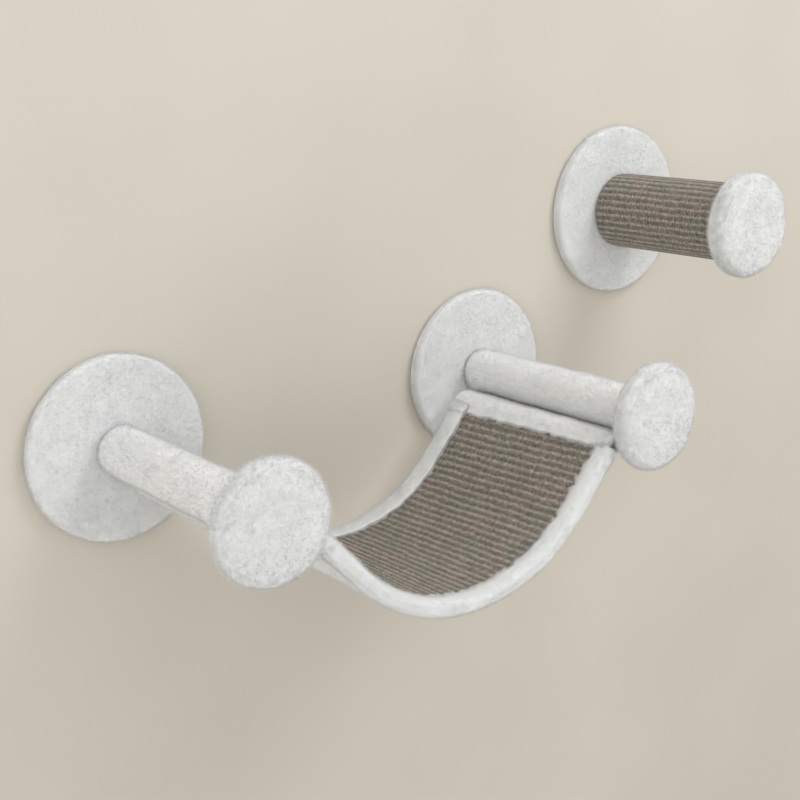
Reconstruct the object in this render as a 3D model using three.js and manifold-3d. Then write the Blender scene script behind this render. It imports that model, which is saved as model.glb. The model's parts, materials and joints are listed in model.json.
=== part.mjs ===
// Wall mounted cat tree: two plush posts that carry a slung sisal hammock, and a sisal scratching post.
//
// Sizes are millimetres. Everything is built on the wall first, in a frame with x along the wall, y up
// and z straight out of the wall; the exported group then stands it up, so that +Z is up, the wall is
// the plane Y = 0 and the posts point towards -Y. The origin is the middle of the left plate's back.
import * as THREE from "three";
import { mergeVertices } from "three/addons/utils/BufferGeometryUtils.js";
import Module from "manifold-3d";

const wasm = await Module();
wasm.setup();

// ---------- Driving dimensions ----------

const gap = 0.3; // clearance left between pieces that touch
const past = 1; // how far a cutting tool runs past the surface it opens

// Where the posts stand on the wall
const postSpacing = 614; // left to right hammock post
const scratchPostAside = 308; // from the right hammock post
const scratchPostAbove = 218;

// Wall plates: a chipboard disc under a plush cover
const plateRadius = 126;
const scratchPlateRadius = 136;
const boardThickness = 15;
const plushThickness = 4;
const plateEdgeRound = 8;
const coverHem = 1.2; // the cover stops this far in front of the wall

// Wall screw holes, round each post, sunk out of sight in the pile
const wallScrewCount = 3;
const wallScrewRing = 82;
const wallScrewHoleRadius = 2.6;
const wallScrewHeadRadius = 5;

// Hammock posts: a cardboard tube in a plush sleeve
const tubeRadius = 30;
const tubeWall = 4;
const sleeveThickness = 4.7;
const capReach = 364; // wall to the back of the cap

// Scratching post: a wider tube in a ribbed sisal sleeve
const scratchTubeRadius = 53;
const scratchTubeWall = 5;
const scratchCapReach = 261.5;

// End caps: a wooden disc and a foam pad in a plush cover
const capRadius = 75;
const capThickness = 31;
const scratchCapRadius = 79.5;
const scratchCapThickness = 36;
const capBoardThickness = 12;
const capBackRound = 9;
const capFrontRound = 12;
const capCrown = 2.5;
const capCoverOpening = 18;

// Wooden plugs glued into the tube's ends, and what is screwed into them
const plugLength = 62;
const boltRadius = 4;
const boltHeadAcrossFlats = 13;
const boltHeadThickness = 5.3;
const washerRadius = 12;
const washerThickness = 2;
const insertRadius = 6.5;
const insertLength = 25;
const capScrewRadius = 2.5;
const capScrewHeadRadius = 5.5;
const capScrewLength = 55;

// Sisal carpet: a flat back with ribs that run parallel to the posts
const sisalThickness = 6;
const ribHeight = 1.6;
const ribPitch = 10.9;
const ribFlank = 0.17; // share of the pitch taken by each sloping side

// Hammock sling, seen along the posts: a round bottom, straight sides and a hem rolled under each post
const slingSag = 178.5; // the sisal's lowest line below the posts' middles
const slingStraightSide = 96.8; // from the end of the round bottom to the sisal's end
const sisalEndInset = 74; // from the post's middle line sideways to the sisal's end
const sisalEndDrop = 31; // and down to it
const hemRollHollow = 4.6; // inside radius of the roll, on the sling's underside
const hemAngle = THREE.MathUtils.degToRad(20); // how far round from straight below the post the hem is fixed

// Hammock sling, edges and the layers below the sisal
const slingToPlate = 22.2;
const slingToCap = 3;
const frontOverhang = 8; // of the front border, past the hems
const backBorderWidth = 35.5;
const frontBorderWidth = 21;
const borderRound = 6;
const borderSkin = 5;
const canvasThickness = 2.5;
const paddingThickness = 5.5;
const undersideThickness = 4;

// Battens inside the hems, and the screws that fix them to the posts
const battenWidth = 20;
const battenThickness = 5;
const hemSkin = 3;
const hemScrewInset = 16; // from the sling's edges
const hemScrewRadius = 2;
const hemScrewHeadRadius = 4;
const hemScrewHeadThickness = 2;
const hemScrewLength = 34;

// Facets
const diskSteps = 28;
const tubeSteps = 20;
const washerSteps = 16;
const smallSteps = 8;
const roundSteps = 2; // on a rounded edge
const degreesPerStep = 8; // along the sling's bends

// ---------- Sizes that follow ----------

const plateThickness = boardThickness + gap + plushThickness;
const postRadius = tubeRadius + gap + sleeveThickness;
const counterboreDepth = boltHeadThickness + gap + washerThickness + gap;

const canvasTop = sisalThickness + gap;
const paddingTop = canvasTop + canvasThickness + gap;
const undersideTop = paddingTop + paddingThickness + gap;
const slingThickness = undersideTop + undersideThickness;
const battenTop = canvasTop + canvasThickness + gap;
const hemRollRadius = slingThickness + hemRollHollow;

const slingBackEdge = plateThickness + slingToPlate; // its edges' distance from the wall
const slingFrontEdge = capReach - slingToCap;
const borderFrontEdge = slingFrontEdge + frontOverhang;
const middleBack = slingBackEdge + backBorderWidth + gap; // the edges of what lies between the borders
const middleFront = borderFrontEdge - frontBorderWidth - gap;

// ---------- Materials ----------

function material(color, roughness, metalness = 0) {
  return new THREE.MeshStandardMaterial({ color, roughness, metalness });
}

const plush = material(0xe4e4e2, 0.95);
const sisal = material(0x857b70, 0.9);
const chipboard = material(0xc0a47c, 0.8);
const softwood = material(0xd6b888, 0.7);
const cardboard = material(0xa98a64, 0.9);
const foam = material(0xe9e3c8, 0.95);
const canvas = material(0xd9d4c6, 0.9);
const steel = material(0xb4b6b8, 0.35, 0.9);

// ---------- Making solids ----------

// A closed three.js geometry as a solid that can be joined and cut.
function solidOf(geometry) {
  const bare = new THREE.BufferGeometry();
  bare.setAttribute("position", geometry.getAttribute("position").clone());
  if (geometry.index) bare.setIndex(geometry.index.clone());
  const merged = mergeVertices(bare, 1e-4);
  return new wasm.Manifold(
    new wasm.Mesh({
      numProp: 3,
      vertProperties: new Float32Array(merged.getAttribute("position").array),
      triVerts: new Uint32Array(merged.index.array),
    }),
  );
}

function geometryOf(solid) {
  const { vertProperties, triVerts } = solid.getMesh();
  const geometry = new THREE.BufferGeometry();
  geometry.setAttribute("position", new THREE.BufferAttribute(vertProperties, 3));
  geometry.setIndex(new THREE.BufferAttribute(triVerts, 1));
  return geometry;
}

function cut(geometry, tools) {
  let solid = solidOf(geometry);
  for (const tool of tools) solid = solid.subtract(solidOf(tool));
  return geometryOf(solid);
}

function join(first, second) {
  return geometryOf(solidOf(first).add(solidOf(second)));
}

// A turned solid about z. Its profile is a list of [radius, z] that runs from the inside bottom
// outwards, up, and back in, and is closed from its last point to its first unless both are on the axis.
function turned(profile, steps) {
  const points = profile.map(([radius, z]) => new THREE.Vector2(radius, z));
  const [first, last] = [points[0], points.at(-1)];
  if (first.x > 0 || last.x > 0) points.push(first.clone());
  return new THREE.LatheGeometry(points, steps).rotateX(Math.PI / 2);
}

// A straight round rod or hole from z = from to z = to.
function rod(radius, from, to, steps = smallSteps) {
  const shape = new THREE.CylinderGeometry(radius, radius, to - from, steps);
  return shape.rotateX(Math.PI / 2).translate(0, 0, (from + to) / 2);
}

// A quarter circle's points, from one edge direction to the next, about a corner's centre.
function quarter(centreRadius, centreZ, round, startAngle) {
  return Array.from({ length: roundSteps + 1 }, (_, i) => {
    const angle = startAngle + (i / roundSteps) * (Math.PI / 2);
    return [centreRadius + round * Math.cos(angle), centreZ + round * Math.sin(angle)];
  });
}

// The side of an upholstered disc from its back to its crowned front, drawn in by inset all over.
function discOutline({ radius, back, front, backRound = 0, frontRound, crown = 0 }, inset) {
  const edge = radius - inset;
  const [low, high] = [back + inset, front - inset];
  const [lowRound, highRound] = [Math.max(backRound - inset, gap), Math.max(frontRound - inset, gap)];
  return {
    backEdge: quarter(edge - lowRound, low + lowRound, lowRound, -Math.PI / 2),
    frontEdge: quarter(edge - highRound, high - crown - highRound, highRound, 0),
    centre: [0, high],
    low,
  };
}

// ---------- One post with its plate and cap ----------

// Places a tool that is drawn along z so that it points from a post's middle line outwards at an angle.
function radial(geometry, angle, distanceFromWall) {
  return geometry.rotateX(-Math.PI / 2).rotateZ(angle - Math.PI / 2).translate(0, 0, distanceFromWall);
}

function wallScrewTools(make) {
  return Array.from({ length: wallScrewCount }, (_, i) => {
    const angle = Math.PI / 2 + (i / wallScrewCount) * 2 * Math.PI;
    return make().translate(wallScrewRing * Math.cos(angle), wallScrewRing * Math.sin(angle), 0);
  });
}

function wallBoard(radius) {
  const plate = { radius, back: 0, front: plateThickness, frontRound: plateEdgeRound };
  const inset = plushThickness + gap;
  const { frontEdge } = discOutline(plate, inset);
  const shank = boltRadius + gap;
  const counterbore = washerRadius + gap;
  const profile = [
    [counterbore, 0],
    [radius - inset, 0],
    ...frontEdge,
    [shank, boardThickness],
    [shank, counterboreDepth],
    [counterbore, counterboreDepth],
  ];
  const sink = wallScrewHeadRadius - wallScrewHoleRadius;
  const hole = () =>
    turned(
      [
        [0, -past],
        [wallScrewHoleRadius, -past],
        [wallScrewHoleRadius, boardThickness - sink],
        [wallScrewHeadRadius + past, boardThickness + past],
        [0, boardThickness + past],
      ],
      smallSteps,
    );
  return cut(turned(profile, diskSteps), wallScrewTools(hole));
}

function wallCover(radius) {
  const plate = { radius, back: 0, front: plateThickness, frontRound: plateEdgeRound };
  const outer = discOutline(plate, 0).frontEdge;
  const inner = discOutline(plate, plushThickness).frontEdge;
  const hole = boltRadius + gap;
  const profile = [
    [radius - plushThickness, coverHem],
    [radius, coverHem],
    ...outer,
    [hole, plateThickness],
    [hole, plateThickness - plushThickness],
    ...inner.reverse(),
  ];
  const holes = wallScrewTools(() => rod(wallScrewHeadRadius, boardThickness, plateThickness + past));
  return cut(turned(profile, diskSteps), holes);
}

function plateBolt() {
  const head = rod(boltHeadAcrossFlats / Math.sqrt(3), 0, boltHeadThickness, 6);
  const shankEnd = plateThickness + gap + insertLength - boltRadius;
  return join(head, rod(boltRadius, boltHeadThickness / 2, shankEnd));
}

function ring(innerRadius, outerRadius, from, to, steps) {
  return turned([[innerRadius, from], [outerRadius, from], [outerRadius, to], [innerRadius, to]], steps);
}

function capScrew(headFront) {
  const head = capScrewHeadRadius - capScrewRadius;
  const tip = headFront - capScrewLength;
  const profile = [
    [0, tip],
    [capScrewRadius, tip + 2 * capScrewRadius],
    [capScrewRadius, headFront - head],
    [capScrewHeadRadius, headFront],
    [0, headFront],
  ];
  return turned(profile, smallSteps);
}

// The disc, pad, cover and screw of a cap whose back is at z = back. The disc and the pad fill the cover.
function capPieces(radius, thickness, back) {
  const front = back + thickness;
  const cap = { radius, back, front, backRound: capBackRound, frontRound: capFrontRound, crown: capCrown };
  const outer = discOutline(cap, 0);
  const inner = discOutline(cap, plushThickness);
  const filled = discOutline(cap, plushThickness + gap);
  const boardFront = filled.low + capBoardThickness;
  const headDepth = capScrewHeadRadius - capScrewRadius;
  const shaft = capScrewRadius + gap;
  const head = capScrewHeadRadius + gap;
  const screwWay = turned(
    [
      [0, back],
      [shaft, back],
      [shaft, boardFront - headDepth - gap],
      [head, boardFront - gap],
      [head, boardFront + past],
      [0, boardFront + past],
    ],
    smallSteps,
  );
  const filling = [[0, filled.low], ...filled.backEdge, ...filled.frontEdge, filled.centre];
  const board = cut(turned(filling, diskSteps), [rod(radius, boardFront, front, diskSteps), screwWay]);
  const pad = cut(turned(filling, diskSteps), [rod(radius, back, boardFront + gap, diskSteps)]);
  const cover = turned(
    [
      [capCoverOpening, back],
      ...outer.backEdge,
      ...outer.frontEdge,
      outer.centre,
      inner.centre,
      ...inner.frontEdge.reverse(),
      ...inner.backEdge.reverse(),
      [capCoverOpening, inner.low],
    ],
    diskSteps,
  );
  return { board, pad, cover, screw: capScrew(boardFront) };
}

// One rib: [share of the pitch, depth below the rib's top].
const ribPoints = [
  [0, ribHeight],
  [ribFlank, 0],
  [1 - ribFlank, 0],
];

// A round sleeve with ribs along it, between two distances from the wall.
function ribbedSleeve(innerRadius, from, to) {
  const outerRadius = innerRadius + sisalThickness;
  const count = Math.round((2 * Math.PI * outerRadius) / ribPitch);
  const outline = [];
  for (let rib = 0; rib < count; rib++) {
    for (const [share, depth] of ribPoints) {
      const angle = ((rib + share) / count) * 2 * Math.PI;
      const radius = outerRadius - depth;
      outline.push(new THREE.Vector2(radius * Math.cos(angle), radius * Math.sin(angle)));
    }
  }
  const shape = new THREE.Shape(outline);
  shape.holes.push(new THREE.Path().absarc(0, 0, innerRadius, 0, 2 * Math.PI, true));
  const options = { depth: to - from, bevelEnabled: false, curveSegments: tubeSteps };
  return new THREE.ExtrudeGeometry(shape, options).translate(0, 0, from);
}

// Builds a post at (x, y) on the wall. Each hem screw is an angle round it and a distance from the wall.
function buildPost({ name, x, y, plate, tube, wall, reach, cap, capDepth, makeSleeve, hemScrews = [] }) {
  const group = new THREE.Group();
  group.position.set(x, y, 0);
  const add = (piece, geometry, finish) => {
    const mesh = new THREE.Mesh(geometry, finish);
    mesh.name = `${name}_${piece}`;
    group.add(mesh);
  };
  const start = plateThickness + gap;
  const end = reach - gap;
  const bore = tube - wall;
  const pilots = () =>
    hemScrews.map(({ angle, distance }) => {
      const hole = rod(hemScrewRadius + gap, hemScrewHead - hemScrewLength - gap, postRadius + past);
      return radial(hole, angle, distance);
    });
  const pieces = capPieces(cap, capDepth, reach);

  add("wall_board", wallBoard(plate), chipboard);
  add("wall_cover", wallCover(plate), plush);
  add("plate_bolt", plateBolt(), steel);
  const washerBack = boltHeadThickness + gap;
  const washer = ring(boltRadius + gap, washerRadius, washerBack, washerBack + washerThickness, washerSteps);
  add("bolt_washer", washer, steel);
  const insert = ring(boltRadius + gap, insertRadius, start, start + insertLength, smallSteps);
  add("threaded_insert", insert, steel);
  const innerPlug = ring(insertRadius + gap, bore - gap, start, start + plugLength, tubeSteps);
  add("inner_plug", cut(innerPlug, pilots()), softwood);
  add("post_tube", cut(ring(bore, tube, start, end, tubeSteps), pilots()), cardboard);
  add(...makeSleeve(tube + gap, start, end, pilots()));
  const outerPlug = ring(capScrewRadius + gap, bore - gap, end - plugLength, end, tubeSteps);
  add("outer_plug", cut(outerPlug, pilots()), softwood);
  add("cap_board", pieces.board, softwood);
  add("cap_screw", pieces.screw, steel);
  add("cap_pad", pieces.pad, foam);
  add("cap_cover", pieces.cover, plush);
  return group;
}

function plushSleeve(inner, from, to, holes) {
  return ["post_cover", cut(ring(inner, inner + sleeveThickness, from, to, tubeSteps), holes), plush];
}

function sisalSleeve(inner, from, to) {
  return ["post_sisal", ribbedSleeve(inner, from, to), sisal];
}

// ---------- The sling's line ----------

// Half of the sling's top surface, from its lowest line at distance 0 along it to the hem's tail. A round
// bottom runs into a straight side up to the sisal's end; the hem's roll then turns over into a tail that
// touches the post where the batten is screwed on.
const middleX = postSpacing / 2;
const sisalEnd = new THREE.Vector2(middleX - sisalEndInset, slingSag - sisalEndDrop);
const slingBendRadius = (sisalEnd.lengthSq() - slingStraightSide ** 2) / (2 * sisalEnd.y);
const fromBendCentre = Math.atan2(sisalEnd.y - slingBendRadius, sisalEnd.x);
const sideAngle = fromBendCentre + Math.atan2(slingBendRadius, slingStraightSide);
const sideDirection = new THREE.Vector2(Math.cos(sideAngle), Math.sin(sideAngle));
const bendEndPoint = sisalEnd.clone().addScaledVector(sideDirection, -slingStraightSide);
const touchPoint = new THREE.Vector2(
  middleX - (postRadius + gap) * Math.sin(hemAngle),
  slingSag - (postRadius + gap) * Math.cos(hemAngle),
);
const tailDirection = new THREE.Vector2(Math.cos(hemAngle), -Math.sin(hemAngle));
const toTouch = touchPoint.clone().sub(sisalEnd);
const hemTurn = sideAngle + hemAngle;
const cornerAfterSisal = toTouch.cross(tailDirection) / Math.sin(-hemTurn);
const cornerBeforeTouch = sideDirection.cross(toTouch) / Math.sin(-hemTurn);
const rollReach = hemRollRadius * Math.tan(hemTurn / 2);

const bendEnd = slingBendRadius * sideAngle;
const sisalHalfLength = bendEnd + slingStraightSide;
const rollStart = sisalHalfLength + cornerAfterSisal - rollReach;
const rollEnd = rollStart + hemRollRadius * hemTurn;
const touchDistance = rollEnd + cornerBeforeTouch - rollReach;
const tailEnd = touchDistance + battenWidth / 2 + gap + hemSkin;

// The point at a signed distance along the sling from its lowest line and a depth below its top surface.
function slingPoint(distance, depth) {
  const along = Math.abs(distance);
  const point = new THREE.Vector2();
  let angle = sideAngle;
  if (along <= bendEnd) {
    angle = along / slingBendRadius;
    point.set(slingBendRadius * Math.sin(angle), slingBendRadius * (1 - Math.cos(angle)));
  } else if (along <= rollStart) {
    point.copy(bendEndPoint).addScaledVector(sideDirection, along - bendEnd);
  } else {
    angle = Math.max(sideAngle - (along - rollStart) / hemRollRadius, -hemAngle);
    point.copy(bendEndPoint).addScaledVector(sideDirection, rollStart - bendEnd);
    point.x += hemRollRadius * (Math.sin(sideAngle) - Math.sin(angle));
    point.y += hemRollRadius * (Math.cos(angle) - Math.cos(sideAngle));
    point.addScaledVector(tailDirection, Math.max(along - rollEnd, 0));
  }
  point.x += depth * Math.sin(angle);
  point.y -= depth * Math.cos(angle);
  return new THREE.Vector2(middleX + Math.sign(distance || 1) * point.x, point.y - slingSag);
}

// Distances along the sling between two limits, close together on its bends.
function stations(from, to) {
  const step = THREE.MathUtils.degToRad(degreesPerStep);
  const half = [0];
  const addBend = (start, end, radius) => {
    const count = Math.ceil((end - start) / (radius * step));
    for (let i = 0; i <= count; i++) half.push(start + ((end - start) * i) / count);
  };
  addBend(0, bendEnd, slingBendRadius);
  addBend(rollStart, rollEnd, hemRollRadius);
  const all = [...half.map((d) => -d), ...half, from, to].filter((d) => d >= from && d <= to);
  all.sort((a, b) => a - b);
  return all.filter((d, i) => i === 0 || d - all[i - 1] > 0.01);
}

// A layer of the sling from one distance along it to another, between two depths and two distances
// from the wall. Its top may have its own list of [distance, depth].
function layer(from, to, top, bottom, back, front, topLine = null) {
  const places = stations(from, to);
  const upper = topLine ?? places.map((distance) => [distance, top]);
  const lower = places.map((distance) => [distance, bottom]).reverse();
  const outline = [...upper, ...lower].map(([distance, depth]) => slingPoint(distance, depth));
  const options = { depth: front - back, bevelEnabled: false };
  return new THREE.ExtrudeGeometry(new THREE.Shape(outline), options).translate(0, 0, back);
}

function ribbedMat() {
  const length = 2 * sisalHalfLength - 2 * gap;
  const count = Math.round(length / ribPitch);
  const line = [];
  for (let rib = 0; rib < count; rib++) {
    for (const [share, depth] of ribPoints) line.push([(((rib + share) / count) - 0.5) * length, depth]);
  }
  line.push([length / 2, ribHeight]);
  return layer(-length / 2, length / 2, 0, sisalThickness, middleBack, middleFront, line);
}

// A border: a rounded strip down one edge, with a slot that takes the canvas as far as slotEnd. Its width
// is negative where it runs back towards the wall.
function border(outerEdge, width, slotEnd) {
  const inward = Math.sign(width);
  const round = Math.min(borderRound, Math.abs(width) / 2);
  const inner = outerEdge + width;
  const [slotTop, slotBottom] = [canvasTop - gap, canvasTop + canvasThickness + gap];
  const turns = Array.from({ length: roundSteps + 1 }, (_, i) => (i / roundSteps) * (Math.PI / 2));
  const section = [
    [inner, 0],
    ...turns.map((turn) => [outerEdge + inward * round * (1 - Math.sin(turn)), round * (1 - Math.cos(turn))]),
    ...turns.map((turn) => [
      outerEdge + inward * round * (1 - Math.cos(turn)),
      slingThickness - round * (1 - Math.sin(turn)),
    ]),
    [inner, slingThickness],
    [inner, slotBottom],
    [slotEnd, slotBottom],
    [slotEnd, slotTop],
    [inner, slotTop],
  ];
  return sweep(section, stations(-sisalHalfLength, sisalHalfLength));
}

// Carries a closed section of [distance from the wall, depth] along the sling, with both ends closed.
function sweep(section, places) {
  const ring = section.map(([z, depth]) => new THREE.Vector2(z, depth));
  if (THREE.ShapeUtils.isClockWise(ring)) ring.reverse();
  const size = ring.length;
  const last = (places.length - 1) * size;
  const positions = places.flatMap((distance) =>
    ring.flatMap(({ x: z, y: depth }) => {
      const point = slingPoint(distance, depth);
      return [point.x, point.y, z];
    }),
  );
  const indices = [];
  for (let i = 0; i < last; i += size) {
    for (let j = 0; j < size; j++) {
      const [a, b] = [i + j, i + ((j + 1) % size)];
      indices.push(a, b, b + size, a, b + size, a + size);
    }
  }
  for (const corners of THREE.ShapeUtils.triangulateShape(ring, [])) {
    if (THREE.ShapeUtils.isClockWise(corners.map((i) => ring[i]))) corners.reverse();
    const [a, b, c] = corners;
    indices.push(c, b, a, last + a, last + b, last + c);
  }
  const geometry = new THREE.BufferGeometry();
  geometry.setAttribute("position", new THREE.Float32BufferAttribute(positions, 3));
  geometry.setIndex(indices);
  return geometry;
}

// ---------- Hems, battens and their screws ----------

const hemScrewDistances = [slingBackEdge + hemScrewInset, slingFrontEdge - hemScrewInset];

// A post's hem screws: the right post's lie before straight down, the left post's after it.
function hemScrewsOf(side) {
  const angle = -Math.PI / 2 - side * hemAngle;
  return hemScrewDistances.map((distance) => ({ angle, distance }));
}

// Moves a tool drawn along a post's radius to the post on one side of the hammock.
function atPost(geometry, side) {
  return geometry.translate(side > 0 ? postSpacing : 0, 0, 0);
}

const hemScrewHead = postRadius + gap + battenTop + battenThickness; // from the post's middle line

function hemScrew(side, { angle, distance }) {
  const tip = hemScrewHead - hemScrewLength;
  const profile = [
    [0, tip],
    [hemScrewRadius, tip + 2 * hemScrewRadius],
    [hemScrewRadius, hemScrewHead - hemScrewHeadThickness],
    [hemScrewHeadRadius, hemScrewHead],
    [0, hemScrewHead],
  ];
  return atPost(radial(turned(profile, smallSteps), angle, distance), side);
}

// The way through canvas, batten and plush that a hem screw and its driver need.
function hemScrewWays(side, driverRadius = 0) {
  return hemScrewsOf(side).map(({ angle, distance }) => {
    const shaft = rod(hemScrewRadius + gap, postRadius - past, hemScrewHead + past);
    if (!driverRadius) return atPost(radial(shaft, angle, distance), side);
    const access = rod(driverRadius, hemScrewHead, postRadius + gap + slingThickness + past);
    return atPost(radial(join(shaft, access), angle, distance), side);
  });
}

function batten(side) {
  const [near, far] = [touchDistance - battenWidth / 2, touchDistance + battenWidth / 2];
  const ends = [side * near, side * far].sort((a, b) => a - b);
  const [back, front] = [slingBackEdge + borderSkin, slingFrontEdge - borderSkin];
  const strip = layer(...ends, battenTop, battenTop + battenThickness, back, front);
  const head = hemScrewHeadRadius + gap;
  const sinks = hemScrewsOf(side).map(({ angle, distance }) => {
    const cone = turned(
      [
        [0, hemScrewHead - hemScrewHeadThickness - gap],
        [hemScrewRadius + gap, hemScrewHead - hemScrewHeadThickness - gap],
        [head, hemScrewHead],
        [head, hemScrewHead + past],
        [0, hemScrewHead + past],
      ],
      smallSteps,
    );
    return atPost(radial(cone, angle, distance), side);
  });
  return cut(strip, [...hemScrewWays(side), ...sinks]);
}

// The plush roll at one end of the sling, hollow for the canvas and the batten.
function hem(side) {
  const span = (near, far) => [side * near, side * far].sort((a, b) => a - b);
  const near = sisalHalfLength + gap;
  const body = layer(...span(near, tailEnd), 0, slingThickness, slingBackEdge, slingFrontEdge);
  const [back, front] = [slingBackEdge + borderSkin - gap, slingFrontEdge - borderSkin + gap];
  const pocketEnd = tailEnd - hemSkin;
  const slot = layer(...span(near - past, pocketEnd), canvasTop - gap, battenTop, back, front);
  const pocketStart = touchDistance - battenWidth / 2 - gap;
  const pocket = layer(
    ...span(pocketStart, pocketEnd),
    battenTop - gap / 2,
    battenTop + battenThickness + gap,
    back,
    front,
  );
  return cut(body, [slot, pocket, ...hemScrewWays(side, hemScrewHeadRadius + gap)]);
}

function slingCanvas() {
  const reach = tailEnd - hemSkin - gap;
  const [back, front] = [slingBackEdge + borderSkin + gap, slingFrontEdge - borderSkin - gap];
  const sheet = layer(-reach, reach, canvasTop, canvasTop + canvasThickness, back, front);
  return cut(sheet, [...hemScrewWays(-1), ...hemScrewWays(1)]);
}

function buildSling() {
  const group = new THREE.Group();
  const add = (name, geometry, finish) => {
    const mesh = new THREE.Mesh(geometry, finish);
    mesh.name = name;
    group.add(mesh);
  };
  const half = sisalHalfLength - gap;
  const middle = (top, bottom) => layer(-half, half, top, bottom, middleBack, middleFront);
  add("sling_mat", ribbedMat(), sisal);
  add("sling_canvas", slingCanvas(), canvas);
  add("sling_padding", middle(paddingTop, paddingTop + paddingThickness), foam);
  add("sling_underside", middle(undersideTop, slingThickness), plush);
  add("sling_back_border", border(slingBackEdge, backBorderWidth, slingBackEdge + borderSkin), plush);
  add("sling_front_border", border(borderFrontEdge, -frontBorderWidth, slingFrontEdge - borderSkin), plush);
  for (const [label, side] of [["left", -1], ["right", 1]]) {
    add(`${label}_hem`, hem(side), plush);
    add(`${label}_batten`, batten(side), softwood);
    const [backScrew, frontScrew] = hemScrewsOf(side);
    add(`${label}_hem_screw_back`, hemScrew(side, backScrew), steel);
    add(`${label}_hem_screw_front`, hemScrew(side, frontScrew), steel);
  }
  return group;
}

// ---------- The whole cat tree ----------

const hammockPost = {
  y: 0,
  plate: plateRadius,
  tube: tubeRadius,
  wall: tubeWall,
  reach: capReach,
  cap: capRadius,
  capDepth: capThickness,
  makeSleeve: plushSleeve,
};

const onTheWall = new THREE.Group();
onTheWall.add(buildPost({ ...hammockPost, name: "left", x: 0, hemScrews: hemScrewsOf(-1) }));
onTheWall.add(buildPost({ ...hammockPost, name: "right", x: postSpacing, hemScrews: hemScrewsOf(1) }));
onTheWall.add(
  buildPost({
    name: "scratch",
    x: postSpacing + scratchPostAside,
    y: scratchPostAbove,
    plate: scratchPlateRadius,
    tube: scratchTubeRadius,
    wall: scratchTubeWall,
    reach: scratchCapReach,
    cap: scratchCapRadius,
    capDepth: scratchCapThickness,
    makeSleeve: sisalSleeve,
  }),
);
onTheWall.add(buildSling());
onTheWall.rotation.x = Math.PI / 2;

const catTree = new THREE.Group();
catTree.add(onTheWall);
catTree.updateMatrixWorld(true);

export default catTree;
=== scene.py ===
"""Wall mounted cat tree: plush posts that carry a slung sisal hammock, and a sisal scratching post.

Metres, in the frame of the CAD model: +X runs along the wall, +Z is up, the wall is the plane Y = 0 and
the posts point towards -Y. "out" below is a distance from the wall, so a point's Y is -out.
"""

import json
import math

import bpy
import numpy as np
from mathutils import Matrix, Vector
from mathutils.geometry import tessellate_polygon
from mathutils.kdtree import KDTree


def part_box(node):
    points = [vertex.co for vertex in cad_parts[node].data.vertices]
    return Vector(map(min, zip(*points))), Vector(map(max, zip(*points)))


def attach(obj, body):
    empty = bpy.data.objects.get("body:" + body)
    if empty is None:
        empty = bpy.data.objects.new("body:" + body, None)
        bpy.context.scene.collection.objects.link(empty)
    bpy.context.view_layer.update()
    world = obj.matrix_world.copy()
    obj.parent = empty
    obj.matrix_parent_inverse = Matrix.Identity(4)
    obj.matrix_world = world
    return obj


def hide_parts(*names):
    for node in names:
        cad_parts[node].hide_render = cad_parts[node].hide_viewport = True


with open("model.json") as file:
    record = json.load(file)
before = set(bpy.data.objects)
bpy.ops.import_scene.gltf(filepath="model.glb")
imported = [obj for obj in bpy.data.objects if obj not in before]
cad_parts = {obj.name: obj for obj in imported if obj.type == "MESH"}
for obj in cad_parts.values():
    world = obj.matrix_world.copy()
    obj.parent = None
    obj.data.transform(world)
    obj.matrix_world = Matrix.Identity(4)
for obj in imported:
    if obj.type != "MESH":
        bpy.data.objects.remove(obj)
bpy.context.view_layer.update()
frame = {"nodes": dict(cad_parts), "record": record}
nodes = frame["nodes"]
POSTS = ("left", "right", "scratch")
HAMMOCK_POSTS = ("left", "right")
MM = 0.001

# ---------- Sizes that the frame's boxes don't give ----------

GAP = 0.3 * MM

# Plush over the plates and caps
PLUSH = 4 * MM
PLATE_ROUND = 8 * MM
PLATE_HOLE = 4.3 * MM
CAP_BACK_ROUND = 9 * MM
CAP_FRONT_ROUND = 12 * MM
CAP_CROWN = 2.5 * MM
CAP_OPENING = 18 * MM

# Sisal ribs
RIB_PITCH = 10.9 * MM
RIB_HEIGHT = 1.6 * MM
YARN_DENT = 0.55 * MM
CORD_HEIGHT = 1.1 * MM
SISAL = 6 * MM
YARN_PITCH = 3.2 * MM

# Hammock sling, seen along the posts, as in the CAD source
SAG = 178.5 * MM
STRAIGHT_SIDE = 96.8 * MM
SISAL_END_INSET = 74 * MM
SISAL_END_DROP = 31 * MM
HEM_ANGLE = math.radians(20)
HEM_HOLLOW = 4.6 * MM
FRONT_OVERHANG = 8 * MM
BACK_BORDER = 35.5 * MM
FRONT_BORDER = 21 * MM
BORDER_ROUND = 6 * MM
BORDER_SKIN = 5 * MM
CANVAS = 2.5 * MM
CANVAS_TOP = SISAL + GAP
PADDING = 5.5 * MM
UNDERSIDE = 4 * MM
BATTEN_WIDTH = 20 * MM
BATTEN = 5 * MM
HEM_SKIN = 3 * MM

# The sisal's rows run a little askew: the further from the wall, the further to the right
ROW_SLANT = 0.045

# How far the plush's foundation stays inside the CAD surface, on posts and sling. Its pile reaches past it
PILE_ROOM = 2.2 * MM
EDGE_ROOM = 1.2 * MM
WALL_CLEARANCE = 0.4 * MM

# ---------- Arrays and meshes ----------


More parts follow.
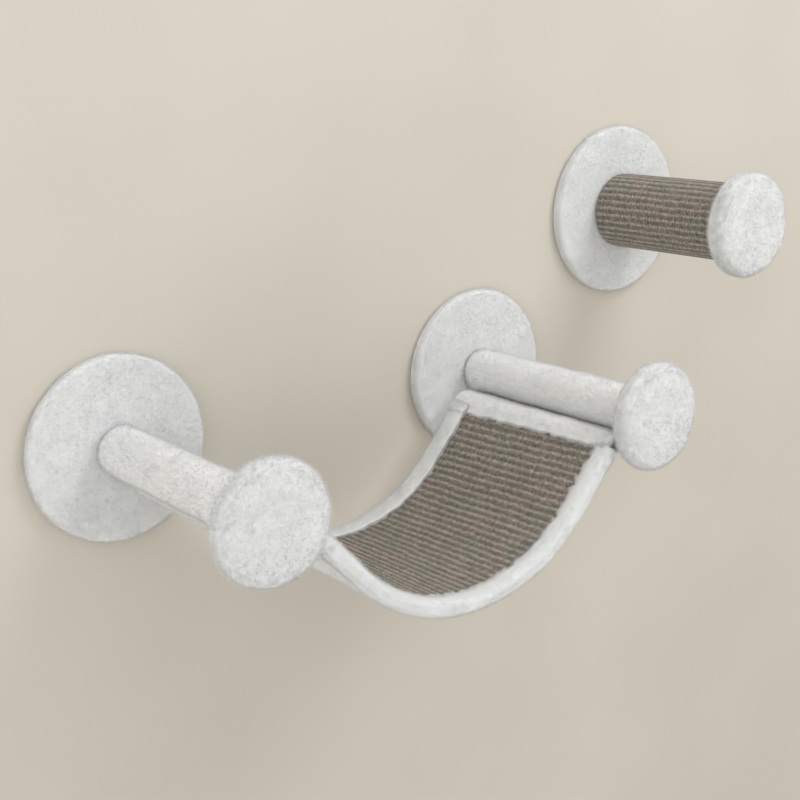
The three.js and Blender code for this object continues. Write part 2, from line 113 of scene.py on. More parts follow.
class Noise:
    """Smooth random values from -1 to 1 over space, the same on each run."""

    def __init__(self, seed):
        draws = np.random.default_rng(seed)
        self.order = draws.permutation(256)
        self.values = draws.uniform(-1, 1, 256)
        self.turn = np.linalg.qr(draws.normal(size=(3, 3)))[0]

    def __call__(self, points, size):
        places = points @ self.turn / size + 500
        cell = np.floor(places).astype(int)
        part = places - cell
        part = part * part * (3 - 2 * part)
        total = np.zeros(len(points))
        for corner in np.ndindex(2, 2, 2):
            x, y, z = ((cell + corner) & 255).T
            value = self.values[self.order[(self.order[(self.order[x] + y) & 255] + z) & 255]]
            total += value * np.prod(np.where(corner, part, 1 - part), axis=1)
        return total


def unit(vectors):
    return vectors / np.maximum(np.linalg.norm(vectors, axis=-1, keepdims=True), 1e-12)


def smooth(value, low, high):
    """0 below low, 1 above high, and an even curve between."""
    share = np.clip((value - low) / (high - low), 0, 1)
    return share * share * (3 - 2 * share)


def spaced(points, step):
    """A polyline's points, with more between them so that none are further apart than step."""
    out = [points[0]]
    for a, b in zip(points, points[1:]):
        count = max(1, math.ceil(math.dist(a, b) / step))
        out += [tuple(np.add(a, np.subtract(b, a) * i / count)) for i in range(1, count + 1)]
    return out


def arc(centre, radius, start, end, step):
    """Points of an arc in degrees, step apart or closer."""
    count = max(2, math.ceil(abs(math.radians(end - start)) * radius / step))
    turns = np.radians(np.linspace(start, end, count + 1))
    return [(centre[0] + radius * math.cos(t), centre[1] + radius * math.sin(t)) for t in turns]


def grid_triangles(rows, columns, wrap_rows=False, wrap_columns=False):
    i, j = np.indices((rows - (not wrap_rows), columns - (not wrap_columns))).reshape(2, -1)
    below, beside = (i + 1) % rows, (j + 1) % columns
    a, b, c, d = i * columns + j, i * columns + beside, below * columns + beside, below * columns + j
    return np.concatenate([np.stack([a, b, c], axis=1), np.stack([a, c, d], axis=1)])


def flat_faces(loops):
    return tessellate_polygon([[Vector((*point, 0)) for point in loop] for loop in loops])


def corner_normals(points, triangles):
    a, b, c = (points[triangles[:, k]] for k in range(3))
    faces = np.cross(b - a, c - a)
    normals = np.zeros_like(points)
    for k in range(3):
        np.add.at(normals, triangles[:, k], faces)
    return unit(normals)


def facing_out(points, triangles):
    """The triangles of a closed surface, turned to face outwards."""
    middle = points.mean(axis=0)
    a, b, c = (points[triangles[:, k]] - middle for k in range(3))
    return triangles[:, ::-1] if (a * np.cross(b, c)).sum() < 0 else triangles


def welded(points, triangles, *extras):
    """Joins points that lie in one place and drops the triangles that this closes up."""
    _, first, where = np.unique(np.round(points, 8), axis=0, return_index=True, return_inverse=True)
    triangles = where.ravel()[triangles]
    a, b, c = triangles.T
    triangles = triangles[(a != b) & (b != c) & (c != a)]
    points = points[first]
    return (points, facing_out(points, triangles), *(extra[first] for extra in extras))


def scene_object(name, data):
    made = bpy.data.objects.new(name, data)
    bpy.context.scene.collection.objects.link(made)
    return made


def mesh_object(name, points, faces, material):
    mesh = bpy.data.meshes.new(name)
    mesh.from_pydata(points, [], faces)
    mesh.materials.append(material)
    return scene_object(name, mesh)


def mesh_piece(name, points, triangles, material, replaced=None, normals=None):
    piece = mesh_object(name, points, triangles, material)
    piece.data.polygons.foreach_set("use_smooth", np.ones(len(triangles), dtype=bool))
    if normals is not None:
        piece.data.normals_split_custom_set_from_vertices(normals)
    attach(piece, "root")
    if replaced:
        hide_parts(replaced)
    return piece


# ---------- Node materials ----------


def srgb(red, green, blue):
    """A colour of 0 to 255 as it is seen, in the linear values that sockets take."""
    values = [v / 255 for v in (red, green, blue)]
    return (*(v / 12.92 if v < 0.04045 else ((v + 0.055) / 1.055) ** 2.4 for v in values), 1)


class Shader:
    """A material under construction, with short calls for its nodes."""

    def __init__(self, name):
        self.material = bpy.data.materials.new(name)
        self.material.use_nodes = True
        self.tree = self.material.node_tree
        self.surface = self.tree.nodes["Principled BSDF"]

    def node(self, kind, **settings):
        made = self.tree.nodes.new("ShaderNode" + kind)
        for key, value in settings.items():
            setattr(made, key, value)
        return made

    def feed(self, socket, value):
        if isinstance(value, bpy.types.NodeSocket):
            self.tree.links.new(value, socket)
        else:
            socket.default_value = value

    def fed(self, made, *values):
        for socket, value in zip(made.inputs, values):
            self.feed(socket, value)
        return made.outputs[0]

    def math(self, operation, *values):
        return self.fed(self.node("Math", operation=operation), *values)

    def place(self, stretch=(1, 1, 1)):
        mapping = self.node("Mapping")
        mapping.inputs["Scale"].default_value = stretch
        self.feed(mapping.inputs["Vector"], self.node("TexCoord").outputs["Object"])
        return mapping.outputs["Vector"]

    def noise(self, place, size, detail=2.0, roughness=0.5):
        """Noise whose largest features are about size across."""
        made = self.node("TexNoise")
        self.feed(made.inputs["Vector"], place)
        made.inputs["Scale"].default_value = 1 / size
        made.inputs["Detail"].default_value = detail
        made.inputs["Roughness"].default_value = roughness
        return made.outputs["Fac"]

    def ramp(self, value, *stops):
        made = self.node("ValToRGB")
        elements = made.color_ramp.elements
        while len(elements) < len(stops):
            elements.new(0.5)
        for element, (position, colour) in zip(elements, stops):
            element.position, element.color = position, colour
        self.feed(made.inputs[0], value)
        return made.outputs["Color"]

    def fade(self, value, low, high):
        """0 below low and 1 above high."""
        return self.fed(self.node("MapRange", interpolation_type="SMOOTHSTEP"), value, low, high, 0.0, 1.0)

    def mix(self, share, first, second, blend="MIX"):
        made = self.node("Mix", data_type="RGBA", blend_type=blend)
        factor, a, b = (made.inputs[k] for k in (0, 6, 7))  # the colour sockets of this many-typed node
        self.feed(factor, share)
        self.feed(a, first)
        self.feed(b, second)
        return made.outputs[2]

    def bump(self, height, distance, strength=1.0):
        made = self.node("Bump")
        made.inputs["Strength"].default_value = strength
        made.inputs["Distance"].default_value = distance
        self.feed(made.inputs["Height"], height)
        self.feed(self.surface.inputs["Normal"], made.outputs["Normal"])

    def finish(self, colour, roughness, **constants):
        self.feed(self.surface.inputs["Base Color"], colour)
        self.feed(self.surface.inputs["Roughness"], roughness)
        for name, value in constants.items():
            self.surface.inputs[name.replace("_", " ")].default_value = value
        return self.material


PLUSH_SHEEN = {"Sheen_Weight": 0.9, "Sheen_Roughness": 0.6, "Specular_IOR_Level": 0.1}
PLUSH_DEPTH = {"Subsurface_Weight": 1.0, "Subsurface_Radius": (1, 1, 1), "Subsurface_Scale": 2.5 * MM}


def plush_tone(shader):
    """Faint cloudy patches in the white, where the pile lies one way or another."""
    place = shader.place()
    patches = shader.noise(place, 34 * MM, 3)
    tufts = shader.noise(place, 7 * MM, 3, 0.6)
    tone = shader.math("MULTIPLY_ADD", tufts, 0.4, shader.math("MULTIPLY", patches, 0.6))
    dim, mean, bright = srgb(219, 221, 220), srgb(226, 227, 226), srgb(230, 231, 229)
    return shader.ramp(tone, (0.36, dim), (0.52, mean), (0.66, bright))


def plush_material():
    shader = Shader("plush")
    shader.bump(shader.noise(shader.place(), 1.6 * MM, 2, 0.7), 0.6 * MM, 0.35)
    return shader.finish(plush_tone(shader), 0.95, **PLUSH_SHEEN, **PLUSH_DEPTH)


def pile_material():
    shader = Shader("plush_pile")
    return shader.finish(plush_tone(shader), 0.95, **PLUSH_SHEEN)


def sisal_material():
    """Dark rows of looped yarn with lighter cords between them, and painted shade in the gaps between the
    loops. The piece's own "weave" attribute counts rows in x and yarns in y."""
    shader = Shader("sisal")
    weave = shader.node("Attribute", attribute_name="weave")
    parts = shader.node("SeparateXYZ")
    shader.feed(parts.inputs[0], weave.outputs["Vector"])
    row, yarn = parts.outputs["X"], parts.outputs["Y"]
    place = shader.place()
    fibre = shader.noise(place, 3.2 * MM, 4, 0.8)

    def from_middle(count):
        """How far a place is from the middle of its row or yarn, up to 0.5."""
        return shader.math("ABSOLUTE", shader.math("SUBTRACT", shader.math("FRACT", count), 0.5))

    waver = shader.math("SUBTRACT", shader.noise(place, 4 * MM, 3, 0.7), 0.5)
    cord_share = shader.fade(shader.math("MULTIPLY_ADD", waver, 0.7, from_middle(row)), 0.2, 0.44)
    # painted shade: darker towards the gaps between the yarn loops, where shade falls
    painted_loop_gap_shade = shader.fade(from_middle(yarn), 0.12, 0.5)
    cell = shader.fed(shader.node("CombineXYZ"), shader.math("FLOOR", row), shader.math("FLOOR", yarn))
    random = shader.fed(shader.node("TexWhiteNoise", noise_dimensions="3D"), cell)

    yarns = shader.ramp(random, (0, srgb(151, 143, 134)), (1, srgb(176, 169, 159)))
    # yarns and cords are mixed towards darker colours by the painted shade in the gaps between loops
    yarns = shader.mix(shader.math("MULTIPLY", painted_loop_gap_shade, 0.75), yarns, srgb(98, 91, 84))
    cords = shader.ramp(random, (0, srgb(197, 190, 179)), (1, srgb(220, 214, 205)))
    cords = shader.mix(shader.math("MULTIPLY", painted_loop_gap_shade, 0.6), cords, srgb(142, 135, 125))
    colour = shader.mix(shader.math("MULTIPLY", cord_share, 0.95), yarns, cords)
    patches = shader.noise(place, 42 * MM, 3)
    tints = shader.ramp(patches, (0.38, srgb(241, 245, 240)), (0.62, srgb(255, 248, 247)))
    colour = shader.mix(1.0, colour, tints, "MULTIPLY")
    flecks = shader.ramp(fibre, (0.36, srgb(140, 138, 136)), (0.66, srgb(255, 255, 255)))
    colour = shader.mix(1.0, colour, flecks, "MULTIPLY")
    shader.bump(fibre, 0.5 * MM, 0.6)
    return shader.finish(colour, 0.9, Specular_IOR_Level=0.2, Sheen_Weight=0.15)


def chipboard_material():
    shader = Shader("chipboard")
    chips = shader.node("TexVoronoi", feature="F1")
    shader.feed(chips.inputs["Vector"], shader.place((1, 3, 1.7)))
    chips.inputs["Scale"].default_value = 1 / (5 * MM)
    parts = shader.node("SeparateColor")
    shader.feed(parts.inputs[0], chips.outputs["Color"])
    bark, knot = srgb(150, 120, 84), srgb(120, 92, 62)
    warm, pale = srgb(190, 160, 118), srgb(214, 188, 146)
    chip = shader.ramp(parts.outputs[0], (0, bark), (0.4, warm), (0.8, pale), (1, knot))
    dust = shader.noise(shader.place(), 2 * MM, 4, 0.7)
    colour = shader.mix(0.35, chip, shader.ramp(dust, (0.3, srgb(160, 130, 95)), (0.7, srgb(222, 200, 164))))
    shader.bump(dust, 0.4 * MM, 0.5)
    return shader.finish(colour, 0.85)


def wood_material():
    shader = Shader("softwood")
    grain = shader.noise(shader.place((6, 0.6, 6)), 9 * MM, 5, 0.65)
    dark, mean, pale = srgb(186, 148, 98), srgb(216, 184, 134), srgb(232, 206, 162)
    colour = shader.ramp(grain, (0.3, dark), (0.55, mean), (0.75, pale))
    shader.bump(grain, 0.3 * MM, 0.4)
    return shader.finish(colour, 0.7)


def cardboard_material():
    shader = Shader("cardboard")
    fibre = shader.noise(shader.place((1, 4, 1)), 4 * MM, 4, 0.6)
    colour = shader.ramp(fibre, (0.3, srgb(148, 118, 84)), (0.7, srgb(182, 152, 114)))
    shader.bump(fibre, 0.2 * MM, 0.4)
    return shader.finish(colour, 0.9)


def foam_material():
    shader = Shader("foam")
    pores = shader.noise(shader.place(), 1.5 * MM, 2, 0.6)
    colour = shader.ramp(pores, (0.35, srgb(206, 196, 160)), (0.6, srgb(238, 232, 204)))
    shader.bump(pores, 0.8 * MM, 0.6)
    return shader.finish(colour, 0.95)


def canvas_material():
    shader = Shader("canvas")
    threads = [shader.node("TexWave", bands_direction=axis) for axis in ("X", "Y")]
    for wave in threads:
        shader.feed(wave.inputs["Vector"], shader.place())
        wave.inputs["Scale"].default_value = 1 / (2 * MM) / (2 * math.pi)
    weave = shader.math("MULTIPLY", threads[0].outputs["Fac"], threads[1].outputs["Fac"])
    colour = shader.ramp(weave, (0.1, srgb(190, 184, 168)), (0.7, srgb(226, 221, 208)))
    shader.bump(weave, 0.3 * MM, 0.5)
    return shader.finish(colour, 0.9)


def steel_material():
    shader = Shader("zinc_plated_steel")
    streaks = shader.noise(shader.place((3, 1, 3)), 3 * MM, 4, 0.6)
    colour = shader.ramp(streaks, (0.3, srgb(168, 170, 172)), (0.7, srgb(206, 208, 208)))
    return shader.finish(colour, shader.math("MULTIPLY_ADD", streaks, 0.25, 0.22), Metallic=1.0)


FINISHES = {
    "plush": plush_material(),
    "sisal": sisal_material(),
    "chipboard": chipboard_material(),
    "softwood": wood_material(),
    "cardboard": cardboard_material(),
    "foam": foam_material(),
    "canvas": canvas_material(),
    "steel": steel_material(),
}
PILE = pile_material()


def dress_kept_nodes():
    for subpart in frame["record"]["subparts"]:
        mesh = nodes[subpart["node"]].data
        mesh.materials.clear()
        mesh.materials.append(FINISHES[subpart["material_slot"]])


# ---------- Plush ----------


class Pelt:
    """How a plush surface is worked: depth and breadth of its lumps, depth of its tufts, and its pile's
    length, spacing and overall lean."""

    def __init__(self, lumps, breadth, tufts, pile, spacing, comb=(0, 0, 0)):
        self.lumps, self.breadth, self.tufts = lumps * MM, breadth * MM, tufts * MM
        self.pile, self.spacing, self.comb = pile * MM, spacing * MM, np.array(comb)


PLATE_PELT = Pelt(lumps=0.4, breadth=26, tufts=0.15, pile=3.6, spacing=1.7, comb=(0.1, 0, -0.25))
CAP_PELT = Pelt(lumps=1.3, breadth=34, tufts=0.25, pile=3.8, spacing=1.6, comb=(0, 0, -0.2))
POST_PELT = Pelt(lumps=0.6, breadth=26, tufts=0.3, pile=4.0, spacing=1.7, comb=(0, -0.5, 0))
EDGE_PELT = Pelt(lumps=1.0, breadth=22, tufts=0.45, pile=4.4, spacing=1.6)
UNDER_PELT = Pelt(lumps=0.5, breadth=26, tufts=0.2, pile=3.4, spacing=2.6)
TUFT_SIZE = 7 * MM
SHADING_DEPTH = 0.4  # the share of the lumps that the foundation's shading shows
RIM = 1.25  # how much fuller the pile is round a bend than on the flat
PILE_RADIUS, FRINGE_RADIUS = 0.24 * MM, 0.34 * MM
ROOT_DEPTH = 0.8 * MM
LEAST_FULLNESS = 0.8  # of the fibres that stand where the pile thins out
DRIFT_SIZE, DRIFT_LEAN = 22 * MM, 0.75
CLUMP_SIZE, CLUMP_LEAN = 5 * MM, 0.28
STRAY_LEAN = 0.3  # of each fibre by itself
UPRIGHT_SHADING = 0.6  # how much a fibre's root is shaded as its surface is


def pile_weight(hidden, bent):
    """How much of the lumps and the pile a point of a cover has."""
    return 0.0 if hidden else RIM if bent else 1.0


def pile_strands(surface, weight, pelt, seed):
    """Roots, surface normals, headings, lengths and radii of short fibres over a surface, leaning in
    drifts."""
    points, triangles, normals = surface
    draws = np.random.default_rng(seed)
    broad, fine = ([Noise(seed + k + j) for j in range(3)] for k in (11, 21))
    a, b, c = (points[triangles[:, k]] for k in range(3))
    areas = np.linalg.norm(np.cross(b - a, c - a), axis=1) / 2 * weight[triangles].mean(axis=1)
    count = int(areas.sum() / pelt.spacing**2)
    chosen = draws.choice(len(triangles), count, p=areas / areas.sum())
    shares = draws.dirichlet((1, 1, 1), count)[:, :, None]
    corners = triangles[chosen]
    roots = (points[corners] * shares).sum(axis=1)
    upright = unit((normals[corners] * shares).sum(axis=1))
    fullness = np.maximum((weight[corners] * shares[:, :, 0]).sum(axis=1)[:, None], LEAST_FULLNESS)
    lean = DRIFT_LEAN * np.stack([noise(roots, DRIFT_SIZE) for noise in broad], axis=1)
    lean += CLUMP_LEAN * np.stack([noise(roots, CLUMP_SIZE) for noise in fine], axis=1)
    lean += pelt.comb + STRAY_LEAN * draws.normal(size=(count, 3))
    lean -= (lean * upright).sum(axis=1, keepdims=True) * upright
    lengths = pelt.pile * draws.uniform(0.7, 1.15, (count, 1)) * fullness
    return roots, upright, unit(upright + lean), lengths, PILE_RADIUS * fullness


def pile_piece(name, strands, seed):
    """Tapered three-sided fibres, as one piece that is shaded much as its surface is."""
    roots, upright, heading, lengths, thick = (np.concatenate(part) for part in zip(*strands))
    draws = np.random.default_rng(seed)
    count = len(roots)
    side = unit(np.cross(heading, draws.normal(size=(count, 3))))
    other = np.cross(heading, side)
    thick = thick * draws.uniform(0.75, 1.25, (count, 1))
    base = roots - ROOT_DEPTH * upright
    rim = [math.cos(t) * side + math.sin(t) * other for t in np.radians((0, 120, 240))]
    points = np.stack([*(base + thick * r for r in rim), roots + heading * lengths], axis=1)
    points[..., 1] = np.minimum(points[..., 1], -WALL_CLEARANCE)
    shading = [*(unit(UPRIGHT_SHADING * upright + r) for r in rim), unit(upright + heading)]
    shading = np.stack(shading, axis=1).reshape(-1, 3)
    faces = np.array([(0, 1, 3), (1, 2, 3), (2, 0, 3), (2, 1, 0)])
    faces = (faces[None] + 4 * np.arange(count)[:, None, None]).reshape(-1, 3)
    return mesh_piece(name, points.reshape(-1, 3), faces, PILE, normals=shading)


def plush_piece(name, points, triangles, weight, pelt, seed, replaced, fringe=()):
    """A closed plush surface, lumpy where weight is 1, with its pile as a second piece. The fringe is more
    strands for the pile."""
    points, triangles, weight = welded(points, triangles, weight)
    normals = corner_normals(points, triangles)
    noise = Noise(seed)
    lumps = pelt.lumps * noise(points, pelt.breadth) + pelt.tufts * noise(points + 3, TUFT_SIZE)
    points = points + normals * (lumps * weight)[:, None]
    points[:, 1] = np.minimum(points[:, 1], -WALL_CLEARANCE)
    shading = unit(normals + SHADING_DEPTH * (corner_normals(points, triangles) - normals))
    piece = mesh_piece(name, points, triangles, FINISHES["plush"], replaced, shading)
    strands = [pile_strands((points, triangles, normals), weight, pelt, seed), *fringe]
    return piece, pile_piece(name.replace("_plush", "_pile"), strands, seed + 5)


# ---------- Stuffing, by cloth simulation ----------

SIM_GRID = 5 * MM
SIM_FRAMES = 20
SIM_PRESSURE = 4.0
SIM_LIMIT = 1.6 * MM  # no point of a cover moves further than this


def corners_of(mesh):
    return np.array([vertex.co[:] for vertex in mesh.vertices])


def puffed(points, outline, held):
    """The points of a cover after its filling has pushed it out. A coarse copy of its outline, which is
    (points, triangles), is simulated as cloth under pressure with the points where held is true kept in
    place, and the cover follows it."""
    scene = bpy.context.scene
    mesh = bpy.data.meshes.new("stuffing")
    mesh.from_pydata(outline[0], [], outline[1])
    body = scene_object("stuffing", mesh)
    body.modifiers.new("grid", "REMESH").voxel_size = SIM_GRID
    coarse = bpy.data.meshes.new_from_object(body.evaluated_get(bpy.context.evaluated_depsgraph_get()))
    body.modifiers.clear()
    body.data = coarse
    rest = corners_of(coarse)
    pins = body.vertex_groups.new(name="pins")
    pins.add([int(k) for k in np.flatnonzero(held(rest))], 1.0, "REPLACE")
    cloth = body.modifiers.new("cloth", "CLOTH")
    cloth.settings.quality = 6
    cloth.settings.mass = 0.2
    cloth.settings.tension_stiffness = cloth.settings.compression_stiffness = 40
    cloth.settings.bending_stiffness = 2
    cloth.settings.use_pressure = True
    cloth.settings.uniform_pressure_force = SIM_PRESSURE
    cloth.settings.effector_weights.gravity = 0
    cloth.settings.vertex_group_mass = "pins"
    cloth.point_cache.frame_start, cloth.point_cache.frame_end = 1, SIM_FRAMES
    for number in range(1, SIM_FRAMES + 1):
        scene.frame_set(number)
    moved = corners_of(body.evaluated_get(bpy.context.evaluated_depsgraph_get()).data) - rest
    scene.frame_set(1)
    tree = KDTree(len(rest))
    for k, place in enumerate(rest):
        tree.insert(place, k)
    tree.balance()
    shift = np.zeros_like(points)
    for k, place in enumerate(points):
        near = tree.find_n(place, 6)
        shares = np.array([1 / (distance + 1 * MM) ** 2 for _, _, distance in near])
        shift[k] = (moved[[index for _, index, _ in near]] * shares[:, None]).sum(axis=0) / shares.sum()
    bpy.data.objects.remove(body)
    bpy.data.meshes.remove(coarse)
    bpy.data.meshes.remove(mesh)
    length = np.linalg.norm(shift, axis=1, keepdims=True)
    return points + shift * np.minimum(1, SIM_LIMIT / np.maximum(length, 1e-9))


# ---------- Turned pieces: plates, caps and posts ----------


def round_post(middle, radius, out, turn):
    """Points at angles about a post's middle line, with their radius and distance from the wall."""
    parts = middle[0] + radius * np.cos(turn), -out, middle[1] + radius * np.sin(turn)
    return np.stack(np.broadcast_arrays(*parts), axis=-1)


def around(profile, weight, middle, step):
    """Turns a closed profile of (radius, out) about a post's middle line, each quarter alike."""
    profile, weight = np.array(profile), np.array(weight, dtype=float)
    count = 4 * math.ceil(2 * math.pi * profile[:, 0].max() / step / 4)
    points = round_post(middle, profile[:, :1], profile[:, 1:], np.arange(count) / count * 2 * math.pi)
    triangles = grid_triangles(len(profile), count, wrap_rows=True, wrap_columns=True)
    return points.reshape(-1, 3), triangles, np.repeat(weight, count)


def post_middle(post):
    low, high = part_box(f"{post}_wall_cover")
    return (low[0] + high[0]) / 2, (low[2] + high[2]) / 2


def round_size(node):
    """The radius of a round piece, and how far from the wall it starts and ends."""
    low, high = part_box(node)
    return (high[0] - low[0]) / 2, -high[1], -low[1]


def bore_radius(post):
    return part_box(f"{post}_post_tube")[1][0] - post_middle(post)[0] + GAP


def plate_plush(post, seed):
    """The cover of a wall plate, drawn over the board's edge and closed round the bolt's hole."""
    radius, hem, front = round_size(f"{post}_wall_cover")
    step = 1.9 * MM
    edge, face = radius - PILE_ROOM, front - PILE_ROOM
    bend = PLATE_ROUND - PILE_ROOM
    outer = spaced([(edge - 1.5 * MM, hem), (edge, hem + 1.5 * MM)], step)
    outer += arc((edge - bend, face - bend), bend, 0, 90, step)
    outer = spaced(outer + [(PLATE_HOLE, face)], step)
    inside, back = radius - PLUSH, front - PLUSH
    curve, inner_step = PLATE_ROUND - PLUSH, 4 * MM
    inner = arc((inside - curve, back - curve), curve, 90, 0, inner_step)
    inner = [(PLATE_HOLE, back), *inner, (inside, hem)]
    under_post = 26 * MM
    weight = [pile_weight(hidden=r <= under_post, bent=r > edge - bend) for r, _ in outer]
    weight += [0.0] * len(inner)
    weight[0] = 0.3  # little pile between the rim and the wall
    shape = around(outer + inner, weight, post_middle(post), step)
    piece, pile = plush_piece(f"{post}_plate_plush", *shape, PLATE_PELT, seed, f"{post}_wall_cover")


def cap_plush(post, seed):
    """The cover of a cap: a crowned front, rounded rims and an opening at the back, inside the post."""
    radius, back, front = round_size(f"{post}_cap_cover")
    step = 1.8 * MM

    def outline(inset, gap):
        edge, rear, top = radius - inset, back + inset, front - inset
        rear_bend, bend = CAP_BACK_ROUND - inset, CAP_FRONT_ROUND - inset
        path = [(CAP_OPENING, rear)]
        path += arc((edge - rear_bend, rear + rear_bend), rear_bend, -90, 0, gap)
        path += arc((edge - bend, top - CAP_CROWN - bend), bend, 0, 90, gap)
        return path + [(0.0, top)]

    outer = outline(PILE_ROOM, step)
    outer[0] = (CAP_OPENING, back)
    outer = spaced([outer[0], (CAP_OPENING + 4 * MM, back)] + outer[1:], step)
    inner = outline(PLUSH, 5 * MM)[::-1]
    covered = 40 * MM  # what the post hides of the back
    rim = radius - CAP_FRONT_ROUND
    weight = [pile_weight(hidden=r < covered and out < back + 1 * MM, bent=r > rim) for r, out in outer]
    weight += [0.0] * len(inner)
    points, triangles, weight = around(outer + inner, weight, post_middle(post), step)
    filled = [(0.0, back), *outer]
    solid = welded(*around(filled, [1.0] * len(filled), post_middle(post), SIM_GRID))[:2]
    points = puffed(points, solid, lambda rest: -rest[:, 1] < back + SIM_GRID)
    shape = points, triangles, weight
    piece, _ = plush_piece(f"{post}_cap_plush", *shape, CAP_PELT, seed, f"{post}_cap_cover")


def post_plush(post, seed):
    """The sleeve of a hammock post, stretched over its tube."""
    radius, start, end = round_size(f"{post}_post_cover")
    bore = bore_radius(post)
    step = 1.8 * MM
    edge = radius - PILE_ROOM
    bend, full_end = 2.2 * MM, 6 * MM
    outer = arc((edge - bend, start + bend), bend, -90, 0, step)
    outer += arc((edge - bend, end - bend), bend, 0, 90, step)
    outer = spaced(outer, step)
    inner = [(bore, end), (bore, start)]
    weight = [pile_weight(hidden=False, bent=min(out - start, end - out) < full_end) for _, out in outer]
    weight += [0.0] * len(inner)
    shape = around(outer + inner, weight, post_middle(post), step)
    piece, pile = plush_piece(f"{post}_post_plush", *shape, POST_PELT, seed, f"{post}_post_cover")


# ---------- Sisal ----------


def woven_height(row, yarn):
    """The height, from the ribs' crowns, of a place counted in rows and yarns: rounded loops of yarn across
    each rib, and a cord in the groove between two ribs."""
    across = np.abs(row % 1 - 0.5)  # 0 on the crown, 0.5 in the groove
    crown = np.cos(np.clip(across / 0.4, 0, 1) * math.pi / 2) ** 0.6
    bead = np.abs(np.sin(yarn * math.pi)) ** 0.7
    cord = np.clip(1 - ((across - 0.5) / 0.17) ** 2, 0, 1)
    return -RIB_HEIGHT * (1 - crown) - YARN_DENT * (1 - bead) + CORD_HEIGHT * cord


def woven_rows(row, yarn, seed):
    """The same counts with each row's yarns shifted and a slight waver, as hand-fed yarn has."""
    draws = np.random.default_rng(seed)
    shifts = draws.uniform(0, 1, int(np.ceil(row.max() - row.min())) + 4)
    noise = Noise(seed)
    places = np.stack([row * 3.3, yarn, 0 * row], axis=1)
    row = row + 0.1 * noise(places, 11.0) + 0.06 * noise(places + 5, 3.0)
    order = np.floor(row - row.min()).astype(int)
    return row, yarn + shifts[order] + 0.3 * noise(places + 9, 7.0)


def set_weave(piece, row, yarn):
    values = np.stack([row, yarn, np.zeros_like(row)], axis=1).astype(np.float32)
    piece.data.attributes.new("weave", "FLOAT_VECTOR", "POINT").data.foreach_set("vector", values.ravel())


def sisal_piece(name, points, triangles, row, yarn, replaced):
    piece = mesh_piece(name, points, facing_out(points, triangles), FINISHES["sisal"], replaced)
    set_weave(piece, row, yarn)
    return piece


# ---------- The sling ----------

left_x, right_x = (post_middle(post)[0] for post in HAMMOCK_POSTS)
POST_RADIUS = round_size("left_post_cover")[0]
MIDDLE_X = (left_x + right_x) / 2
HALF = (right_x - left_x) / 2
HEM_BACK, HEM_FRONT = -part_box("left_hem")[1][1], -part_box("left_hem")[0][1]
BORDER_FRONT = HEM_FRONT + FRONT_OVERHANG
SISAL_BACK, SISAL_FRONT = HEM_BACK + BACK_BORDER + GAP, BORDER_FRONT - FRONT_BORDER - GAP

PADDING_TOP = CANVAS_TOP + CANVAS + GAP
UNDERSIDE_TOP = PADDING_TOP + PADDING + GAP
THICKNESS = UNDERSIDE_TOP + UNDERSIDE
HEM_ROLL = THICKNESS + HEM_HOLLOW

end_x, end_z = HALF - SISAL_END_INSET, SAG - SISAL_END_DROP
BEND = (end_x**2 + end_z**2 - STRAIGHT_SIDE**2) / (2 * end_z)
SIDE = math.atan2(end_z - BEND, end_x) + math.atan2(BEND, STRAIGHT_SIDE)
bend_x, bend_z = end_x - STRAIGHT_SIDE * math.cos(SIDE), end_z - STRAIGHT_SIDE * math.sin(SIDE)
touch_x = HALF - (POST_RADIUS + GAP) * math.sin(HEM_ANGLE)
touch_z = SAG - (POST_RADIUS + GAP) * math.cos(HEM_ANGLE)
HEM_TURN = SIDE + HEM_ANGLE
to_x, to_z = touch_x - end_x, touch_z - end_z
after_sisal = (to_x * -math.sin(HEM_ANGLE) - to_z * math.cos(HEM_ANGLE)) / math.sin(-HEM_TURN)
before_touch = (math.cos(SIDE) * to_z - math.sin(SIDE) * to_x) / math.sin(-HEM_TURN)
roll_reach = HEM_ROLL * math.tan(HEM_TURN / 2)
BEND_END = BEND * SIDE
SISAL_HALF = BEND_END + STRAIGHT_SIDE
ROLL_START = SISAL_HALF + after_sisal - roll_reach
ROLL_END = ROLL_START + HEM_ROLL * HEM_TURN
TOUCH = ROLL_END + before_touch - roll_reach
TAIL_END = TOUCH + BATTEN_WIDTH / 2 + GAP + HEM_SKIN


def sling_points(distance, depth, out):
    """Points at signed distances along the sling from its lowest line, depths below its top surface and
    distances from the wall."""
    distance, depth, out = np.broadcast_arrays(*(np.asarray(v, dtype=float) for v in (distance, depth, out)))
    along = np.abs(distance)
    angle = np.where(along <= BEND_END, along / BEND, SIDE)
    roll_angle = np.maximum(SIDE - (along - ROLL_START) / HEM_ROLL, -HEM_ANGLE)
    angle = np.where(along > ROLL_START, roll_angle, angle)
    x = np.where(along <= BEND_END, BEND * np.sin(angle), bend_x)
    z = np.where(along <= BEND_END, BEND * (1 - np.cos(angle)), bend_z)
    straight = np.clip(along - BEND_END, 0, ROLL_START - BEND_END)
    x, z = x + straight * math.cos(SIDE), z + straight * math.sin(SIDE)
    rolled = along > ROLL_START
    x = x + np.where(rolled, HEM_ROLL * (math.sin(SIDE) - np.sin(angle)), 0)
    z = z + np.where(rolled, HEM_ROLL * (np.cos(angle) - math.cos(SIDE)), 0)
    tail = np.maximum(along - ROLL_END, 0)
    x, z = x + tail * math.cos(HEM_ANGLE), z - tail * math.sin(HEM_ANGLE)
    x, z = x + depth * np.sin(angle), z - depth * np.cos(angle)
    side = np.where(distance < 0, -1.0, 1.0)
    return np.stack([MIDDLE_X + side * x, -out, z - SAG], axis=-1)


def slant(out):
    """How much sooner than at its front edge the sisal ends, at the right post."""
    return ROW_SLANT * (SISAL_FRONT - np.clip(out, SISAL_BACK, SISAL_FRONT))


